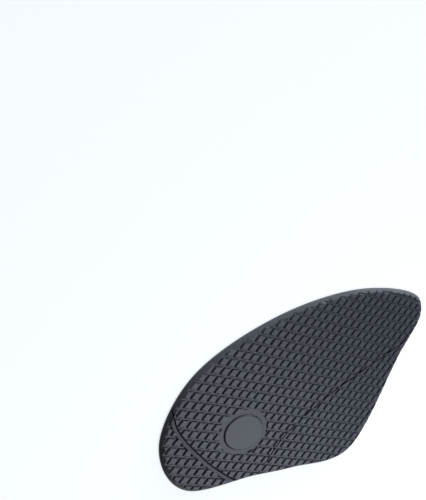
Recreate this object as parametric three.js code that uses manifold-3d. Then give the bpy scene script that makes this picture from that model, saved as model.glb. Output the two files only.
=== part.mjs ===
import * as THREE from 'three';
import { mergeVertices } from 'three/addons/utils/BufferGeometryUtils.js';
import Module from 'manifold-3d';

// Knee pad for the side of a motorcycle fuel tank, moulded in rubber as one piece: a thin
// sheet with a flat back, a sloping edge and a tread of slanted blocks on its face.
// Millimetres. The back lies on z = 0, the tread faces +Z and X runs along the length.

// Sheet
const padLength = 211;
const padWidth = 131;
const padThickness = 3;
const rimThickness = 0.8;
const slopeWidth = 2.4;

// Tread: rows of blocks with equal sides, slanted one way, whose walls lean back a little.
// The groove's width is measured on its floor, between the feet of two blocks
const blockPitch = 6.3;
const blockSlant = 67.5;
const rowTurn = -38.5;
const grooveWidth = 0.95;
const grooveDepth = 0.9;
const wallRun = 0.6;

// Flex lines: slits that let the heel and the lower flap bend. The rib beside the heel's
// slit lies mostly on the heel's side of it
const slitWidth = 1;
const heelSlitDepth = 1.6;
const flapSlitDepth = 1.2;
const ribWidth = 3.6;
const ribOffset = 1.3;

// Plain oval island in a cleared ring, with its long side along the rows
const islandLength = 30;
const islandWidth = 24;
const islandHeight = 0.8;
const ringWidth = 3.4;
const islandPlace = [-0.238, 0.012];

// Places below are shares of the length and the width, from the middle of the pad
const edgePoints = [
  [0.122, -0.496],
  [-0.095, -0.379],
  [-0.233, -0.278],
  [-0.446, -0.13],
  [-0.497, 0.035],
  [-0.481, 0.23],
  [-0.35, 0.431],
  [-0.067, 0.5],
  [0.266, 0.397],
  [0.491, 0.169],
  [0.493, 0.061],
  [0.389, -0.1],
];
const heelLine = [[-0.42, 0.42], [-0.433, 0.25], [-0.38, 0.005], [-0.323, -0.163], [-0.24, -0.35]];
const flapLine = [[-0.25, -0.31], [-0.115, -0.152], [0.063, -0.076], [0.25, -0.048], [0.46, -0.03]];

// Fineness of the curves
const edgeSteps = 96;
const slopeSteps = 1;
const lineSteps = 24;
const islandSteps = 48;

const wasm = await Module();
wasm.setup();

function solidFrom(geometry) {
  const bare = geometry.clone();
  bare.deleteAttribute('normal');
  bare.deleteAttribute('uv');
  const merged = mergeVertices(bare, 1e-5);
  const vertProperties = new Float32Array(merged.attributes.position.array);
  const triVerts = new Uint32Array(merged.index.array);
  return new wasm.Manifold(new wasm.Mesh({ numProp: 3, vertProperties, triVerts }));
}

function geometryFrom(solid) {
  const { vertProperties, triVerts } = solid.getMesh();
  const geometry = new THREE.BufferGeometry();
  geometry.setAttribute('position', new THREE.BufferAttribute(new Float32Array(vertProperties), 3));
  geometry.setIndex(new THREE.BufferAttribute(new Uint32Array(triVerts), 1));
  geometry.computeVertexNormals();
  return geometry;
}

function onPad([along, across]) {
  return new THREE.Vector3(along * padLength, across * padWidth, 0);
}

// The edge as one smooth closed curve, fitted to the length and width it is cut to
function edgeShape() {
  const curve = new THREE.CatmullRomCurve3(edgePoints.map(onPad), true);
  const points = curve.getPoints(edgeSteps).slice(0, edgeSteps);
  const box = new THREE.Box3().setFromPoints(points);
  const middle = box.getCenter(new THREE.Vector3());
  const size = box.getSize(new THREE.Vector3());
  const fitted = points.map((p) => new THREE.Vector2(
    (p.x - middle.x) * padLength / size.x,
    (p.y - middle.y) * padWidth / size.y,
  ));
  return new THREE.Shape(fitted);
}

// A strip of even width along a line drawn on the pad, its middle set off to the line's right
function stripShape(line, width, offset) {
  const curve = new THREE.CatmullRomCurve3(line.map(onPad));
  const left = [];
  const right = [];
  for (let i = 0; i <= lineSteps; i += 1) {
    const point = curve.getPoint(i / lineSteps);
    const along = curve.getTangent(i / lineSteps);
    const across = new THREE.Vector2(along.y, -along.x);
    const beside = (distance) => across.clone().multiplyScalar(distance).add(point);
    left.push(beside(offset - width / 2));
    right.push(beside(offset + width / 2));
  }
  return new THREE.Shape([...left, ...right.reverse()]);
}

function ovalShape(length, width) {
  const middle = onPad(islandPlace);
  const turn = THREE.MathUtils.degToRad(rowTurn);
  const around = 2 * Math.PI;
  const curve = new THREE.EllipseCurve(middle.x, middle.y, length / 2, width / 2, 0, around, false, turn);
  return new THREE.Shape(curve.getPoints(islandSteps).slice(0, islandSteps));
}

// An upright solid of a shape between two heights
function standing(shape, bottom, top) {
  const geometry = new THREE.ExtrudeGeometry(shape, { depth: top - bottom, bevelEnabled: false });
  geometry.translate(0, 0, bottom);
  return solidFrom(geometry);
}

// A solid on the groove floor whose sides lean in from the shape of its foot
function leaning(shape, height) {
  const geometry = new THREE.ExtrudeGeometry(shape, {
    depth: grooveDepth,
    bevelEnabled: true,
    bevelSize: wallRun,
    bevelOffset: -wallRun,
    bevelThickness: height,
    bevelSegments: 1,
  });
  geometry.translate(0, 0, padThickness - 2 * grooveDepth);
  return solidFrom(geometry);
}

// The sheet before its tread is cut: a slope runs from the rim up to the face, and the
// lower half of the bevelled blank is cut away to leave a flat back
function sheetBlank() {
  const slopeHeight = padThickness - rimThickness;
  const geometry = new THREE.ExtrudeGeometry(edgeShape(), {
    depth: rimThickness + padThickness,
    bevelEnabled: true,
    bevelSize: slopeWidth,
    bevelOffset: -slopeWidth,
    bevelThickness: slopeHeight,
    bevelSegments: slopeSteps,
  });
  geometry.translate(0, 0, -padThickness);
  const under = new THREE.BoxGeometry(2 * padLength, 2 * padWidth, 2 * padLength);
  under.translate(0, 0, -padLength);
  return solidFrom(geometry).subtract(solidFrom(under));
}

// The slanted blocks in their rows, with one block on the middle of the pad
function treadBlocks() {
  const turn = THREE.MathUtils.degToRad(rowTurn);
  const slant = THREE.MathUtils.degToRad(blockSlant);
  const alongRow = new THREE.Vector2(Math.cos(turn), Math.sin(turn));
  const upRow = new THREE.Vector2(Math.cos(turn + slant), Math.sin(turn + slant));
  const side = blockPitch - grooveWidth / Math.sin(slant);
  const placed = (row, column) => new THREE.Vector2()
    .addScaledVector(alongRow, row)
    .addScaledVector(upRow, column);
  const reach = Math.ceil(Math.hypot(padLength, padWidth) / 2 / (blockPitch * Math.sin(slant)));
  const blocks = [];
  for (let i = -reach; i <= reach; i += 1) {
    for (let j = -reach; j <= reach; j += 1) {
      const middle = placed(i * blockPitch, j * blockPitch);
      const onSheet = Math.abs(middle.x) < padLength / 2 + side && Math.abs(middle.y) < padWidth / 2 + side;
      if (onSheet) {
        const corners = [[-1, -1], [1, -1], [1, 1], [-1, 1]]
          .map(([a, b]) => placed(a * side / 2, b * side / 2).add(middle));
        blocks.push(leaning(new THREE.Shape(corners), grooveDepth));
      }
    }
  }
  return wasm.Manifold.union(blocks);
}

// What is cut away to leave the raised parts of the face standing on the groove floor
function treadCut() {
  const ring = ovalShape(islandLength + 2 * ringWidth, islandWidth + 2 * ringWidth);
  const raised = treadBlocks()
    .subtract(standing(ring, 0, 2 * padThickness))
    .add(leaning(ovalShape(islandLength, islandWidth), islandHeight))
    .add(leaning(stripShape(heelLine, ribWidth, ribOffset), grooveDepth));
  return standing(edgeShape(), padThickness - grooveDepth, padThickness + grooveDepth).subtract(raised);
}

function slitCut(line, depth) {
  return standing(stripShape(line, slitWidth, 0), padThickness - depth, padThickness + depth);
}

function tankPad() {
  const solid = sheetBlank()
    .subtract(treadCut())
    .subtract(slitCut(heelLine, heelSlitDepth))
    .subtract(slitCut(flapLine, flapSlitDepth));
  const rubber = new THREE.MeshStandardMaterial({ color: 0x50545a, roughness: 0.8, metalness: 0 });
  const mesh = new THREE.Mesh(geometryFrom(solid), rubber);
  mesh.name = 'tank_pad';
  return mesh;
}

const group = new THREE.Group();
group.add(tankPad());

export default group;
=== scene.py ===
import math

import bmesh
import bpy
from mathutils import Matrix, Vector
from mathutils.kdtree import KDTree


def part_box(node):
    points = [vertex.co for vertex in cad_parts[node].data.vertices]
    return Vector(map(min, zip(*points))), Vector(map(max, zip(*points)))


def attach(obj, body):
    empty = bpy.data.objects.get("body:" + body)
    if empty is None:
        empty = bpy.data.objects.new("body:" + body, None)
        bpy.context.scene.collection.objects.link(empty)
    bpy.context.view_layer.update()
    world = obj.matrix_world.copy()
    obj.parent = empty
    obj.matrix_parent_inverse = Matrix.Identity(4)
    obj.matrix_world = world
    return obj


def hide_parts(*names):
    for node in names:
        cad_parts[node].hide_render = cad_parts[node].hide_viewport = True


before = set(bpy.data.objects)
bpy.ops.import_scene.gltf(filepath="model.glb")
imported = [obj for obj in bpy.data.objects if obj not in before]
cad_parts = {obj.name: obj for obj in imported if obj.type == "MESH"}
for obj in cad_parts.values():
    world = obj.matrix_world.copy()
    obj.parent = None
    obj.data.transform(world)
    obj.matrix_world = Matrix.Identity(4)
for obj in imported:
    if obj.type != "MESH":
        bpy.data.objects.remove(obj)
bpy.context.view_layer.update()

print("frame loaded:", ", ".join(sorted(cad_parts)))

mm = 0.001
lowCorner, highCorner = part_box("tank_pad")

# sizes of the sheet; places are shares of the length and the width, from the middle
sheet = {
    "length": highCorner.x - lowCorner.x,
    "width": highCorner.y - lowCorner.y,
    "thickness": highCorner.z - lowCorner.z,
    "rimThickness": 0.8 * mm,
    "slopeWidth": 2.4 * mm,
    "backRound": 0.12 * mm,       # roundings of the back's edge, the rim's top and the slope's end
    "rimRound": 0.1 * mm,
    "faceRound": 0.25 * mm,
    "edgePoints": [
        (0.122, -0.496), (-0.095, -0.379), (-0.233, -0.278), (-0.446, -0.13),
        (-0.497, 0.035), (-0.481, 0.23), (-0.35, 0.431), (-0.067, 0.5),
        (0.266, 0.397), (0.491, 0.169), (0.493, 0.061), (0.389, -0.1),
    ],
    "stepsPerPoint": 24,
    "faceAllowance": 0.06 * mm,   # the blank stands this much higher, and the tread is cut down from it
    "cutOverhang": 1.0 * mm,      # how far past the edge the tread is cut
}


def onPad(share):
    return Vector((share[0] * sheet["length"], share[1] * sheet["width"]))


def smoothCurve(points, steps, closed):
    # a centripetal Catmull-Rom curve through the points
    count = len(points)
    spans = count if closed else count - 1
    curve = []
    for i in range(spans):
        if closed:
            a, b, c, d = (points[(i + k) % count] for k in (-1, 0, 1, 2))
        else:
            b, c = points[i], points[i + 1]
            a = points[i - 1] if i > 0 else 2 * b - c
            d = points[i + 2] if i + 2 < count else 2 * c - b
        ab, bc, cd = (math.sqrt((q - p).length) for p, q in ((a, b), (b, c), (c, d)))
        start = ((b - a) / ab - (c - a) / (ab + bc) + (c - b) / bc) * bc
        end = ((c - b) / bc - (d - b) / (bc + cd) + (d - c) / cd) * bc
        for k in range(steps):
            t = k / steps
            curve.append(b + start * t + (3 * (c - b) - 2 * start - end) * t ** 2
                         + (2 * (b - c) + start + end) * t ** 3)
    if not closed:
        curve.append(points[-1])
    return curve


def outward(points, i, closed=True):
    # the direction square to the curve, to the right of the way it runs
    last = len(points) - 1
    before = points[i - 1] if closed or i > 0 else points[i]
    after = points[(i + 1) % len(points)] if closed or i < last else points[i]
    along = (after - before).normalized()
    return Vector((along.y, -along.x))


def padEdge():
    curve = smoothCurve([onPad(p) for p in sheet["edgePoints"]], sheet["stepsPerPoint"], True)
    lowest = Vector((min(p.x for p in curve), min(p.y for p in curve)))
    highest = Vector((max(p.x for p in curve), max(p.y for p in curve)))
    middle, size = (lowest + highest) / 2, highest - lowest
    fitted = [Vector(((p.x - middle.x) * sheet["length"] / size.x,
                      (p.y - middle.y) * sheet["width"] / size.y)) for p in curve]
    area = sum(p.x * q.y - p.y * q.x for p, q in zip(fitted, fitted[1:] + fitted[:1]))
    return fitted if area > 0 else fitted[::-1]


def insetLoop(points, inset):
    return [p - outward(points, i) * inset for i, p in enumerate(points)]


def solidFromRings(name, rings):
    # each ring is a loop of flat points and its height, from the bottom up; both ends are closed
    mesh = bmesh.new()
    loops = [[mesh.verts.new((p.x, p.y, height)) for p in points] for points, height in rings]
    for lower, upper in zip(loops, loops[1:]):
        for i in range(len(lower)):
            j = (i + 1) % len(lower)
            mesh.faces.new((lower[i], lower[j], upper[j], upper[i]))
    mesh.faces.new(loops[0][::-1])
    mesh.faces.new(loops[-1])
    bmesh.ops.recalc_face_normals(mesh, faces=mesh.faces)
    data = bpy.data.meshes.new(name)
    mesh.to_mesh(data)
    mesh.free()
    solid = bpy.data.objects.new(name, data)
    bpy.context.scene.collection.objects.link(solid)
    return solid


def padBlank():
    # the moulded sheet before its tread, as insets and heights from the back up
    edge = padEdge()
    thickness, allowance = sheet["thickness"], sheet["faceAllowance"]
    rim, slope = sheet["rimThickness"], sheet["slopeWidth"]
    rise = thickness - rim
    backRound, rimRound, faceRound = sheet["backRound"], sheet["rimRound"], sheet["faceRound"]
    midRound = 0.3                # a rounding's middle lies this share of its radius in from the sides
    backEdge = [
        (backRound, 0),
        (backRound * midRound, backRound * midRound),
        (0, backRound),
    ]
    rimTop = [
        (0, rim - rimRound),
        (rimRound * midRound, rim),
        (rimRound, rim + rimRound * 0.7),
    ]
    slopeMiddle = [
        (slope * 0.35, rim + rise * 0.35),
        (slope * 0.7, rim + rise * 0.71),
    ]
    # the slope runs out in a shallow curve that ends on the blank's higher face
    slopeEnd = [
        (slope - faceRound, thickness - faceRound * 0.85),
        (slope, thickness - faceRound * 0.25),
        (slope + faceRound, thickness + allowance * 0.3),
        (slope + 2.2 * faceRound, thickness + allowance),
    ]
    profile = backEdge + rimTop + slopeMiddle + slopeEnd
    return solidFromRings("pad_tread", [(insetLoop(edge, inset), z) for inset, z in profile])


# the tread's slanted blocks
tread = {
    "pitch": 6.3 * mm,
    "slant": math.radians(67.5),
    "rowTurn": math.radians(-38.5),
    "grooveWidth": 0.95 * mm,     # between the feet of two blocks
    "grooveDepth": 0.9 * mm,
    "wallRun": 0.6 * mm,          # how far a block's wall leans back over its height
    "cornerRadius": 0.35 * mm,
    "leastRadius": 0.08 * mm,     # a corner keeps this much where the walls lean in
    "cornerSteps": 1,
    "edgeBlend": 0.15 * mm,       # how far from an edge its rounding starts
    "footBlend": 0.15 * mm,       # the same at a foot, along the floor and up the wall
    "blendSteps": 2,
    "rootDepth": 0.4 * mm,        # what stands on the groove floor reaches this far into it
    "reach": 0.6,                 # in pitches: a block stands if its middle is this near the sheet
}

floorHeight = sheet["thickness"] - tread["grooveDepth"]


def raisedProfile(edgeBlend, top, steps):
    # insets and heights of what stands on the groove floor: a root, a wall that leans back,
    # and a small curve at the wall's foot and at its edge
    foot, edge = Vector((0, floorHeight)), Vector((tread["wallRun"], top))
    up, inward = (edge - foot).normalized(), Vector((1, 0))
    footBlend = tread["footBlend"]
    curves = [(foot - inward * footBlend, foot, foot + up * footBlend),
              (edge - up * edgeBlend, edge, edge + inward * edgeBlend)]
    profile = [(-footBlend, floorHeight - tread["rootDepth"])]
    for start, corner, end in curves:
        for t in (k / steps for k in range(steps + 1)):
            profile.append(tuple(start * (1 - t) ** 2 + corner * 2 * t * (1 - t) + end * t ** 2))
    return profile


def roundedRhombus(inset):
    # one block's outline, drawn in by the inset, with round corners
    slant = tread["slant"]
    side = tread["pitch"] - tread["grooveWidth"] / math.sin(slant)
    side -= 2 * inset / math.sin(slant)
    radius = max(tread["cornerRadius"] - inset, tread["leastRadius"])
    alongRow = Vector((1, 0))
    upRow = Vector((math.cos(slant), math.sin(slant)))
    corners = [alongRow * (a * side / 2) + upRow * (b * side / 2)
               for a, b in ((-1, -1), (1, -1), (1, 1), (-1, 1))]
    points = []
    for i, corner in enumerate(corners):
        toLast = (corners[i - 1] - corner).normalized()
        toNext = (corners[(i + 1) % 4] - corner).normalized()
        half = toLast.angle(toNext) / 2
        centre = corner + (toLast + toNext).normalized() * (radius / math.sin(half))
        first = corner + toLast * (radius / math.tan(half)) - centre
        turn = math.pi - 2 * half
        for k in range(tread["cornerSteps"] + 1):
            points.append(centre + Matrix.Rotation(turn * k / tread["cornerSteps"], 2) @ first)
    return [Matrix.Rotation(tread["rowTurn"], 2) @ p for p in points]


def treadBlock():
    profile = raisedProfile(tread["edgeBlend"], sheet["thickness"], tread["blendSteps"])
    return solidFromRings("tread_block", [(roundedRhombus(inset), z) for inset, z in profile])


def faceLayer():
    # what may be cut away over the groove floor
    loop = insetLoop(padEdge(), -sheet["cutOverhang"])
    top = sheet["thickness"] + tread["grooveDepth"]
    return solidFromRings("face_layer", [(loop, floorHeight), (loop, top)])


# the plain oval in its cleared ring
island = {
    "place": (-0.238, 0.012),
    "length": 30 * mm,
    "width": 24 * mm,
    "height": 0.8 * mm,
    "ringWidth": 3.4 * mm,
    "edgeBlend": 0.35 * mm,
    "blendSteps": 4,
    "steps": 96,
}


def oval(length, width):
    middle = onPad(island["place"])
    turn = Matrix.Rotation(tread["rowTurn"], 2)
    angles = [2 * math.pi * k / island["steps"] for k in range(island["steps"])]
    return [middle + turn @ Vector((length / 2 * math.cos(a), width / 2 * math.sin(a))) for a in angles]


def ovalIsland():
    profile = raisedProfile(island["edgeBlend"], floorHeight + island["height"], island["blendSteps"])
    rings = [(oval(island["length"] - 2 * inset, island["width"] - 2 * inset), z) for inset, z in profile]
    return solidFromRings("oval_island", rings)


def clearedRing():
    outline = oval(island["length"] + 2 * island["ringWidth"], island["width"] + 2 * island["ringWidth"])
    return solidFromRings("cleared_ring", [(outline, 0), (outline, 2 * sheet["thickness"])])


# thin slits that let the pad bend, the heel's with a rib beside it
flexLines = {
    "heelLine": [(-0.42, 0.42), (-0.433, 0.25), (-0.38, 0.005), (-0.323, -0.163), (-0.24, -0.35)],
    "flapLine": [(-0.25, -0.31), (-0.115, -0.152), (0.063, -0.076), (0.25, -0.048), (0.46, -0.03)],
    "slitWidth": 1.0 * mm,
    "slitTaper": 0.2 * mm,        # a slit is this much narrower at its bottom, on each side
    "heelSlitDepth": 1.6 * mm,
    "flapSlitDepth": 1.2 * mm,
    "ribWidth": 3.6 * mm,
    "ribOffset": 1.3 * mm,        # the rib lies mostly on the heel's side of its slit
    "ribMargin": 0.05 * mm,       # the blocks are cleared from the rib's top up to this far from its edge
    "ribBlendSteps": 3,
    "ribShade": 0.35,             # painted shade on the rib: how far its tone goes towards that of the slits
    "steps": 64,
}


def strip(line, width, offset=0):
    points = smoothCurve([onPad(p) for p in line], flexLines["steps"] // (len(line) - 1), False)
    sides = [outward(points, i, False) for i in range(len(points))]
    right = [p + s * (offset + width / 2) for p, s in zip(points, sides)]
    left = [p + s * (offset - width / 2) for p, s in zip(points, sides)]
    return right + left[::-1]


def heelRib():
    line, width, offset = flexLines["heelLine"], flexLines["ribWidth"], flexLines["ribOffset"]
    profile = raisedProfile(tread["edgeBlend"], sheet["thickness"], flexLines["ribBlendSteps"])
    return solidFromRings("heel_rib", [(strip(line, width - 2 * inset, offset), z) for inset, z in profile])


def ribPlace():
    # the flat of the rib's top, taken out of the blocks so that the painted shade on the rib keeps one tone
    inset = tread["wallRun"] + tread["edgeBlend"] + flexLines["ribMargin"]
    outline = strip(flexLines["heelLine"], flexLines["ribWidth"] - 2 * inset, flexLines["ribOffset"])
    return solidFromRings("rib_place", [(outline, 0), (outline, 2 * sheet["thickness"])])


def slit(name, line, depth):
    # narrower at its bottom than at its lips
    width, top = flexLines["slitWidth"], sheet["thickness"]
    rings = [(strip(line, width - 2 * flexLines["slitTaper"]), top - depth),
             (strip(line, width), top), (strip(line, width), top + depth)]
    return solidFromRings(name, rings)


def nodeIn(tree, kind, **settings):
    made = tree.nodes.new(kind)
    for key, value in settings.items():
        setattr(made, key, value)
    return made


def makeTreadTree():
    tree = bpy.data.node_groups.new("slanted block tread", "GeometryNodeTree")
    sockets = tree.interface
    sockets.new_socket("Geometry", in_out="INPUT", socket_type="NodeSocketGeometry")
    sockets.new_socket("Geometry", in_out="OUTPUT", socket_type="NodeSocketGeometry")
    for name in ("Pitch", "Slant", "Row Turn", "Reach"):
        sockets.new_socket(name, in_out="INPUT", socket_type="NodeSocketFloat")
    for name in ("Rows", "Columns"):
        sockets.new_socket(name, in_out="INPUT", socket_type="NodeSocketInt")
    for name in ("Block", "Face Layer", "Ring", "Island", "Rib", "Rib Place", "Heel Slit", "Flap Slit"):
        sockets.new_socket(name, in_out="INPUT", socket_type="NodeSocketObject")
    sockets.new_socket("Material", in_out="INPUT", socket_type="NodeSocketMaterial")

    def add(kind, **settings):
        return nodeIn(tree, kind, **settings)

    def link(output, socket):
        tree.links.new(output, socket)

    def maths(operation, first, second=None):
        made = add("ShaderNodeMath", operation=operation)
        for socket, value in zip(made.inputs, (first, second)):
            if isinstance(value, (int, float)):
                socket.default_value = value
            elif value is not None:
                link(value, socket)
        return made.outputs[0]

    def solidOf(name):
        made = add("GeometryNodeObjectInfo")
        link(given.outputs[name], made.inputs["Object"])
        return made.outputs["Geometry"]

    def boolean(operation, first, *others):
        made = add("GeometryNodeMeshBoolean", operation=operation, solver="MANIFOLD")
        if operation == "DIFFERENCE":
            link(first, made.inputs["Mesh 1"])
        else:
            others = (first, *others)
        for other in others:
            link(other, made.inputs["Mesh 2"])
        return made.outputs["Mesh"]

    given = add("NodeGroupInput")

    # whole numbers on a square grid become the middles of the slanted blocks
    columns, rows = given.outputs["Columns"], given.outputs["Rows"]
    grid = add("GeometryNodeMeshGrid")
    link(maths("SUBTRACT", columns, 1), grid.inputs["Size X"])
    link(maths("SUBTRACT", rows, 1), grid.inputs["Size Y"])
    link(columns, grid.inputs["Vertices X"])
    link(rows, grid.inputs["Vertices Y"])
    place = add("ShaderNodeSeparateXYZ")
    link(add("GeometryNodeInputPosition").outputs[0], place.inputs[0])
    alongRow = maths("MULTIPLY", place.outputs["X"], given.outputs["Pitch"])
    upRow = maths("MULTIPLY", place.outputs["Y"], given.outputs["Pitch"])
    rowTurn = given.outputs["Row Turn"]
    columnTurn = maths("ADD", rowTurn, given.outputs["Slant"])
    corner = add("ShaderNodeCombineXYZ")
    for axis, wave in (("X", "COSINE"), ("Y", "SINE")):
        fromRow = maths("MULTIPLY", alongRow, maths(wave, rowTurn))
        fromColumn = maths("MULTIPLY", upRow, maths(wave, columnTurn))
        link(maths("ADD", fromRow, fromColumn), corner.inputs[axis])
    slanted = add("GeometryNodeSetPosition")
    link(grid.outputs["Mesh"], slanted.inputs["Geometry"])
    link(corner.outputs[0], slanted.inputs["Position"])

    # blocks stand wherever the sheet is under them
    near = add("GeometryNodeProximity", target_element="FACES")
    link(given.outputs["Geometry"], near.inputs["Geometry"])
    onSheet = add("FunctionNodeCompare", operation="LESS_THAN")
    link(near.outputs["Distance"], onSheet.inputs["A"])
    link(given.outputs["Reach"], onSheet.inputs["B"])
    blocks = add("GeometryNodeInstanceOnPoints")
    link(slanted.outputs[0], blocks.inputs["Points"])
    link(onSheet.outputs[0], blocks.inputs["Selection"])
    link(solidOf("Block"), blocks.inputs["Instance"])
    real = add("GeometryNodeRealizeInstances")
    link(blocks.outputs[0], real.inputs[0])

    raised = boolean("DIFFERENCE", real.outputs[0], solidOf("Ring"), solidOf("Rib Place"))
    raised = boolean("UNION", raised, solidOf("Island"), solidOf("Rib"))
    cutAway = boolean("DIFFERENCE", solidOf("Face Layer"), raised)
    pad = boolean("DIFFERENCE", given.outputs["Geometry"], cutAway)
    pad = boolean("DIFFERENCE", pad, solidOf("Heel Slit"), solidOf("Flap Slit"))

    whole = add("GeometryNodeRealizeInstances")
    link(pad, whole.inputs[0])
    painted = add("GeometryNodeSetMaterial")
    link(whole.outputs[0], painted.inputs["Geometry"])
    link(given.outputs["Material"], painted.inputs["Material"])
    result = add("NodeGroupOutput")
    link(painted.outputs[0], result.inputs[0])
    return tree


def setInputs(modifier, values):
    for item in modifier.node_group.interface.items_tree:
        if item.item_type == "SOCKET" and item.in_out == "INPUT" and item.name in values:
            modifier[item.identifier] = values[item.name]


def plainMesh(thing):
    # the evaluated form as a mesh of its own, with the modifiers taken off
    graph = bpy.context.evaluated_depsgraph_get()
    mesh = bpy.data.meshes.new_from_object(thing.evaluated_get(graph))
    thing.modifiers.clear()
    thing.data = mesh


# how the finished mesh is shaded and its faces are told apart
marking = {
    "weld": 0.002 * mm,
    "sharpAngle": math.radians(38),
    "near": 0.12 * mm,            # a face this near the slope, the rim or the rib counts as on it
    "slitMargin": 0.01 * mm,      # a slit's own faces lie, on average, this far inside its lips or more
    "leastUp": 0.5,               # the slope's normals point up at least this much
}


def smoothBelow(mesh, angle):
    work = bmesh.new()
    work.from_mesh(mesh)
    bmesh.ops.remove_doubles(work, verts=work.verts, dist=marking["weld"])
    for f in work.faces:
        f.smooth = True
    for e in work.edges:
        e.smooth = len(e.link_faces) == 2 and e.calc_face_angle(0) < angle
    work.to_mesh(mesh)
    work.free()


def besideCurve(curve, closed):
    # gives how far a place lies to the right of a curve, and how far from its nearest point
    finder = KDTree(len(curve))
    for i, point in enumerate(curve):
        finder.insert((point.x, point.y, 0), i)
    finder.balance()

    def measure(place):
        i, away = finder.find((place.x, place.y, 0))[1:]
        return (place.xy - curve[i]).dot(outward(curve, i, closed)), away

    return measure


def markFaces(mesh):
    # skin marks the slope, the rim and the back, which are kept out of the grooves' painted shade and get a
    # tone of their own, set for the light on the slope; shade marks painted shade, full inside the slits
    # and light on the rib
    fromEdge = besideCurve(padEdge(), True)
    lines = [smoothCurve([onPad(p) for p in flexLines[name]], flexLines["steps"], False)
             for name in ("heelLine", "flapLine")]
    measures = [besideCurve(line, False) for line in lines]
    besideSlits = [[measure(v.co) for v in mesh.vertices] for measure in measures]
    rim = sheet["rimThickness"]
    rise = (sheet["thickness"] - rim) / sheet["slopeWidth"]
    near = marking["near"]
    inSlit = flexLines["slitWidth"] / 2 - marking["slitMargin"]
    ribStart = flexLines["ribOffset"] - flexLines["ribWidth"] / 2 - near
    ribEnd = flexLines["ribOffset"] + flexLines["ribWidth"] / 2 + near
    skin = mesh.attributes.new("skin", "FLOAT", "FACE")
    shade = mesh.attributes.new("shade", "FLOAT", "FACE")
    for i, face in enumerate(mesh.polygons):
        height = face.center.z
        inset = -fromEdge(face.center)[0]
        onSlope = abs(height - rim - inset * rise) < near and face.normal.z > marking["leastUp"]
        skin.data[i].value = float(onSlope or height < rim + near)
        for k, places in enumerate(besideSlits):
            sides, distances = zip(*(places[v] for v in face.vertices))
            if max(distances) > flexLines["ribWidth"] or height < rim + near:
                continue
            if sum(abs(side) for side in sides) < inSlit * len(sides):
                shade.data[i].value = 1.0
            elif k == 0 and min(sides) > ribStart and max(sides) < ribEnd and height > floorHeight + near:
                shade.data[i].value = flexLines["ribShade"]


def makePad(material):
    pad = padBlank()
    helpers = {
        "Block": treadBlock(),
        "Face Layer": faceLayer(),
        "Ring": clearedRing(),
        "Island": ovalIsland(),
        "Rib": heelRib(),
        "Rib Place": ribPlace(),
        "Heel Slit": slit("heel_slit", flexLines["heelLine"], flexLines["heelSlitDepth"]),
        "Flap Slit": slit("flap_slit", flexLines["flapLine"], flexLines["flapSlitDepth"]),
    }
    across = math.hypot(sheet["length"], sheet["width"]) / (tread["pitch"] * math.sin(tread["slant"]))
    count = 2 * math.ceil(across / 2) + 1
    build = pad.modifiers.new("tread", "NODES")
    build.node_group = makeTreadTree()
    setInputs(build, {
        "Pitch": tread["pitch"],
        "Slant": tread["slant"],
        "Row Turn": tread["rowTurn"],
        "Reach": tread["reach"] * tread["pitch"],
        "Rows": count,
        "Columns": count,
        "Material": material,
        **helpers,
    })
    plainMesh(pad)
    for helper in helpers.values():
        bpy.data.objects.remove(helper)
    smoothBelow(pad.data, marking["sharpAngle"])
    evened = pad.modifiers.new("even shading", "WEIGHTED_NORMAL")
    evened.mode = "FACE_AREA"
    evened.keep_sharp = True
    plainMesh(pad)
    markFaces(pad.data)
    print("pad:", len(pad.data.polygons), "faces")
    return pad


rubber = {
    # painted shade inside the slits, and in part on the rib
    "slit": (0.022, 0.025, 0.034, 1),
    # painted shade in the grooves, on their floors and walls
    "groove": (0.029, 0.033, 0.049, 1),
    "colour": (0.036, 0.040, 0.058, 1),
    "worn": (0.057, 0.063, 0.087, 1),
    # the slope, the rim and the back: kept out of the painted shade, a little lighter and less blue than
    # the face as painted light on the slope; their patches are wear
    "skin": (0.045, 0.048, 0.056, 1),
    "wornSkin": (0.065, 0.068, 0.075, 1),
    "grooveShadeTop": 0.30 * mm,       # the grooves' painted shade is full this far under the face
    "faceBottom": 0.04 * mm,      # and starts this far under it
    "cloud": (60, 4),             # scale and detail of the wide patches of wear
    "speckle": (700, 2),          # of the fine ones between them
    "speckleEdge": (0.35, 0.65),
    "cloudShare": 0.5,
    "speckleShare": 0.5,
    "grain": (3500, 3),           # of the mould's grain
    "grainStrength": 0.35,
    "grainDepth": 0.05 * mm,
    "roughness": 0.45,
    "specular": 0.5,
    # where the painted shade is full, the reflection is dulled to this
    "slitSpecular": 0.05,
}


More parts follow.
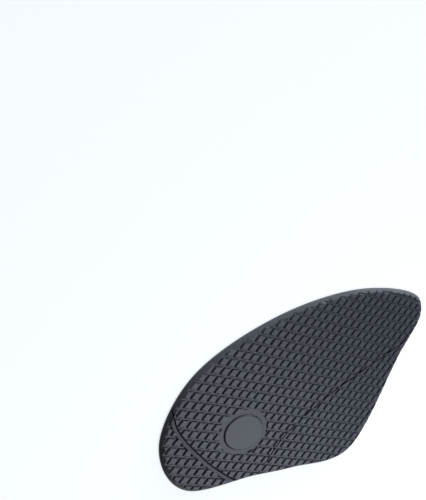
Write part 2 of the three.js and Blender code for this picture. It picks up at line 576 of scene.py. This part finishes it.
def makeRubber():
    material = bpy.data.materials.new("moulded rubber")
    material.use_nodes = True
    tree = material.node_tree
    shader = tree.nodes["Principled BSDF"]
    place = nodeIn(tree, "ShaderNodeTexCoord").outputs["Object"]

    def noise(scale, detail):
        made = nodeIn(tree, "ShaderNodeTexNoise")
        made.inputs["Scale"].default_value = scale
        made.inputs["Detail"].default_value = detail
        tree.links.new(place, made.inputs["Vector"])
        return made.outputs["Fac"]

    def ramp(value, low, high):
        made = nodeIn(tree, "ShaderNodeMapRange")
        made.inputs["From Min"].default_value = low
        made.inputs["From Max"].default_value = high
        tree.links.new(value, made.inputs["Value"])
        return made.outputs["Result"]

    def mixed(factor, first, second):
        made = nodeIn(tree, "ShaderNodeMix", data_type="RGBA")
        for name, value in (("Factor", factor), ("A", first), ("B", second)):
            if isinstance(value, tuple):
                made.inputs[name].default_value = value
            else:
                tree.links.new(value, made.inputs[name])
        return made.outputs["Result"]

    # worn patches, some wide and some fine
    cloud = noise(*rubber["cloud"])
    speckle = ramp(noise(*rubber["speckle"]), *rubber["speckleEdge"])
    patches = nodeIn(tree, "ShaderNodeMath", operation="MULTIPLY_ADD")
    patches.inputs[1].default_value = rubber["speckleShare"]
    tree.links.new(speckle, patches.inputs[0])
    wide = nodeIn(tree, "ShaderNodeMath", operation="MULTIPLY")
    wide.inputs[1].default_value = rubber["cloudShare"]
    tree.links.new(cloud, wide.inputs[0])
    tree.links.new(wide.outputs[0], patches.inputs[2])
    face = mixed(patches.outputs[0], rubber["colour"], rubber["worn"])

    # the grooves get painted shade by their height; the skin, and the painted shade in the slits and on the
    # rib, go by their marks
    axes = nodeIn(tree, "ShaderNodeSeparateXYZ")
    tree.links.new(place, axes.inputs[0])
    top = sheet["thickness"]
    onFace = ramp(axes.outputs["Z"], top - rubber["grooveShadeTop"], top - rubber["faceBottom"])
    toned = mixed(onFace, rubber["groove"], face)
    # the skin is left out of the painted shade and given its own tone, partly painted light
    onSkin = nodeIn(tree, "ShaderNodeAttribute", attribute_name="skin").outputs["Fac"]
    skin = mixed(patches.outputs[0], rubber["skin"], rubber["wornSkin"])
    toned = mixed(onSkin, toned, skin)
    # painted shade: dark inside the slits and a little darker on the rib, with its reflection dulled
    shade = nodeIn(tree, "ShaderNodeAttribute", attribute_name="shade").outputs["Fac"]
    toned = mixed(shade, toned, rubber["slit"])
    tree.links.new(toned, shader.inputs["Base Color"])
    dull = nodeIn(tree, "ShaderNodeMapRange")
    dull.inputs["To Min"].default_value = rubber["specular"]
    dull.inputs["To Max"].default_value = rubber["slitSpecular"]
    tree.links.new(shade, dull.inputs["Value"])
    tree.links.new(dull.outputs["Result"], shader.inputs["Specular IOR Level"])

    bump = nodeIn(tree, "ShaderNodeBump")
    bump.inputs["Strength"].default_value = rubber["grainStrength"]
    bump.inputs["Distance"].default_value = rubber["grainDepth"]
    tree.links.new(noise(*rubber["grain"]), bump.inputs["Height"])
    tree.links.new(bump.outputs["Normal"], shader.inputs["Normal"])
    shader.inputs["Roughness"].default_value = rubber["roughness"]
    return material


ground = {
    "size": 6,
    "drop": 0.05 * mm,            # how far it lies under the pad's back
    "colour": (0.6, 0.605, 0.61, 1),
    "roughness": 0.9,
    "specular": 0.2,
    "liftColour": (0.95, 0.98, 1, 1),
    "lift": 0.74,                 # light of its own, only for the camera and for reflections
}


def makeFloor():
    bpy.ops.mesh.primitive_plane_add(size=ground["size"], location=(0, 0, -ground["drop"]))
    floor = bpy.context.object
    floor.name = "floor"
    material = bpy.data.materials.new("pale floor")
    material.use_nodes = True
    tree = material.node_tree
    shader = tree.nodes["Principled BSDF"]
    shader.inputs["Base Color"].default_value = ground["colour"]
    shader.inputs["Roughness"].default_value = ground["roughness"]
    shader.inputs["Specular IOR Level"].default_value = ground["specular"]
    rays = nodeIn(tree, "ShaderNodeLightPath")
    seen = nodeIn(tree, "ShaderNodeMath", operation="MAXIMUM")
    tree.links.new(rays.outputs["Is Camera Ray"], seen.inputs[0])
    tree.links.new(rays.outputs["Is Glossy Ray"], seen.inputs[1])
    lift = nodeIn(tree, "ShaderNodeMath", operation="MULTIPLY")
    lift.inputs[1].default_value = ground["lift"]
    tree.links.new(seen.outputs[0], lift.inputs[0])
    shader.inputs["Emission Color"].default_value = ground["liftColour"]
    tree.links.new(lift.outputs[0], shader.inputs["Emission Strength"])
    floor.data.materials.append(material)


studio = {
    "cameraPlace": (-0.2071, 0.3061, 0.3086),
    "cameraAim": (-0.0440, 0.1253, 0.0),
    "cameraRoll": 119.2,
    "focalLength": 52.86,
    "sensorWidth": 36,
    "clipStart": 0.01,
    "lampColour": (0.89, 0.93, 1.0),
    # a large lamp above the pointed end's side lights the whole tread
    "keyFrom": (0.42, -0.34, 0.84),
    "keyAim": (-0.08, 0.01, 0),
    "keyDistance": 1.0,
    "keySize": 0.6,
    "keyPower": 1.15,
    # a small one opposite the camera gives the rubber a sheen towards the heel
    "sheenPlace": (0.115, -0.41, 0.41),
    "sheenAim": (-0.08, 0.0, 0.0),
    "sheenSize": 0.26,
    "sheenPower": 0.92,
    # the sky is bright beyond the pointed end and all but dark beyond the heel
    "skyColour": (0.85, 0.905, 1.0, 1),
    "skyFrom": (1.0, -0.1, 0.0),
    "skyEdge": (-0.05, 0.3),
    "skyStrength": 0.42,
    "skyDark": 0.04,
    # a strong glow low on one side lights the walls that face it
    "glowFrom": (0.62, 0.78, 0.0),
    "glowEdge": (0.5, 0.95),
    "glowHeight": (0.20, 0.08),
    "glowStrength": 20.0,
    "backdrop": (0.93, 0.95, 0.98, 1),
}


def makeCamera():
    data = bpy.data.cameras.new("camera")
    data.lens = studio["focalLength"]
    data.sensor_width = studio["sensorWidth"]
    data.clip_start = studio["clipStart"]
    camera = bpy.data.objects.new("camera", data)
    bpy.context.scene.collection.objects.link(camera)
    camera.location = studio["cameraPlace"]
    way = Vector(studio["cameraAim"]) - Vector(studio["cameraPlace"])
    roll = Matrix.Rotation(math.radians(studio["cameraRoll"]), 4, "Z")
    camera.rotation_euler = (way.to_track_quat("-Z", "Y").to_matrix().to_4x4() @ roll).to_euler()
    bpy.context.scene.camera = camera


def areaLight(name, place, aim, size, power):
    data = bpy.data.lights.new(name, "AREA")
    data.energy = power
    data.size = size
    data.color = studio["lampColour"]
    light = bpy.data.objects.new(name, data)
    bpy.context.scene.collection.objects.link(light)
    light.location = place
    light.rotation_euler = (Vector(aim) - Vector(place)).to_track_quat("-Z", "Y").to_euler()


def makeWorld():
    world = bpy.data.worlds.new("studio")
    bpy.context.scene.world = world
    world.use_nodes = True
    tree = world.node_tree
    sky = tree.nodes["Background"]
    sky.inputs["Color"].default_value = studio["skyColour"]
    way = nodeIn(tree, "ShaderNodeTexCoord").outputs["Generated"]

    def ramp(value, edge, low, high):
        made = nodeIn(tree, "ShaderNodeMapRange", interpolation_type="SMOOTHSTEP")
        for name, number in zip(("From Min", "From Max", "To Min", "To Max"), (*edge, low, high)):
            made.inputs[name].default_value = number
        tree.links.new(value, made.inputs["Value"])
        return made.outputs["Result"]

    def towards(direction):
        made = nodeIn(tree, "ShaderNodeVectorMath", operation="DOT_PRODUCT")
        made.inputs[1].default_value = Vector(direction).normalized()
        tree.links.new(way, made.inputs[0])
        return made.outputs["Value"]

    def joined(operation, first, second):
        made = nodeIn(tree, "ShaderNodeMath", operation=operation)
        tree.links.new(first, made.inputs[0])
        tree.links.new(second, made.inputs[1])
        return made.outputs[0]

    broad = ramp(towards(studio["skyFrom"]), studio["skyEdge"], studio["skyDark"], studio["skyStrength"])
    side = ramp(towards(studio["glowFrom"]), studio["glowEdge"], 0, 1)
    up = (0, 0, 1)
    low = ramp(towards(up), studio["glowHeight"], 0, studio["glowStrength"])
    tree.links.new(joined("ADD", broad, joined("MULTIPLY", side, low)), sky.inputs["Strength"])

    # beyond the floor the camera sees a pale backdrop, not the light itself
    backdrop = nodeIn(tree, "ShaderNodeBackground")
    backdrop.inputs["Color"].default_value = studio["backdrop"]
    seen = nodeIn(tree, "ShaderNodeMixShader")
    tree.links.new(nodeIn(tree, "ShaderNodeLightPath").outputs["Is Camera Ray"], seen.inputs[0])
    tree.links.new(sky.outputs[0], seen.inputs[1])
    tree.links.new(backdrop.outputs[0], seen.inputs[2])
    tree.links.new(seen.outputs[0], tree.nodes["World Output"].inputs["Surface"])


def makeLights():
    makeWorld()
    aim = Vector(studio["keyAim"])
    place = aim + Vector(studio["keyFrom"]).normalized() * studio["keyDistance"]
    areaLight("key", place, aim, studio["keySize"], studio["keyPower"])
    areaLight("sheen", studio["sheenPlace"], studio["sheenAim"], studio["sheenSize"], studio["sheenPower"])


makeCamera()
print("camera placed")
pad = makePad(makeRubber())
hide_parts("tank_pad")
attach(pad, "root")
print("pad placed")
makeFloor()
makeLights()
bpy.context.scene.view_settings.view_transform = "Standard"
print("floor and lights placed")
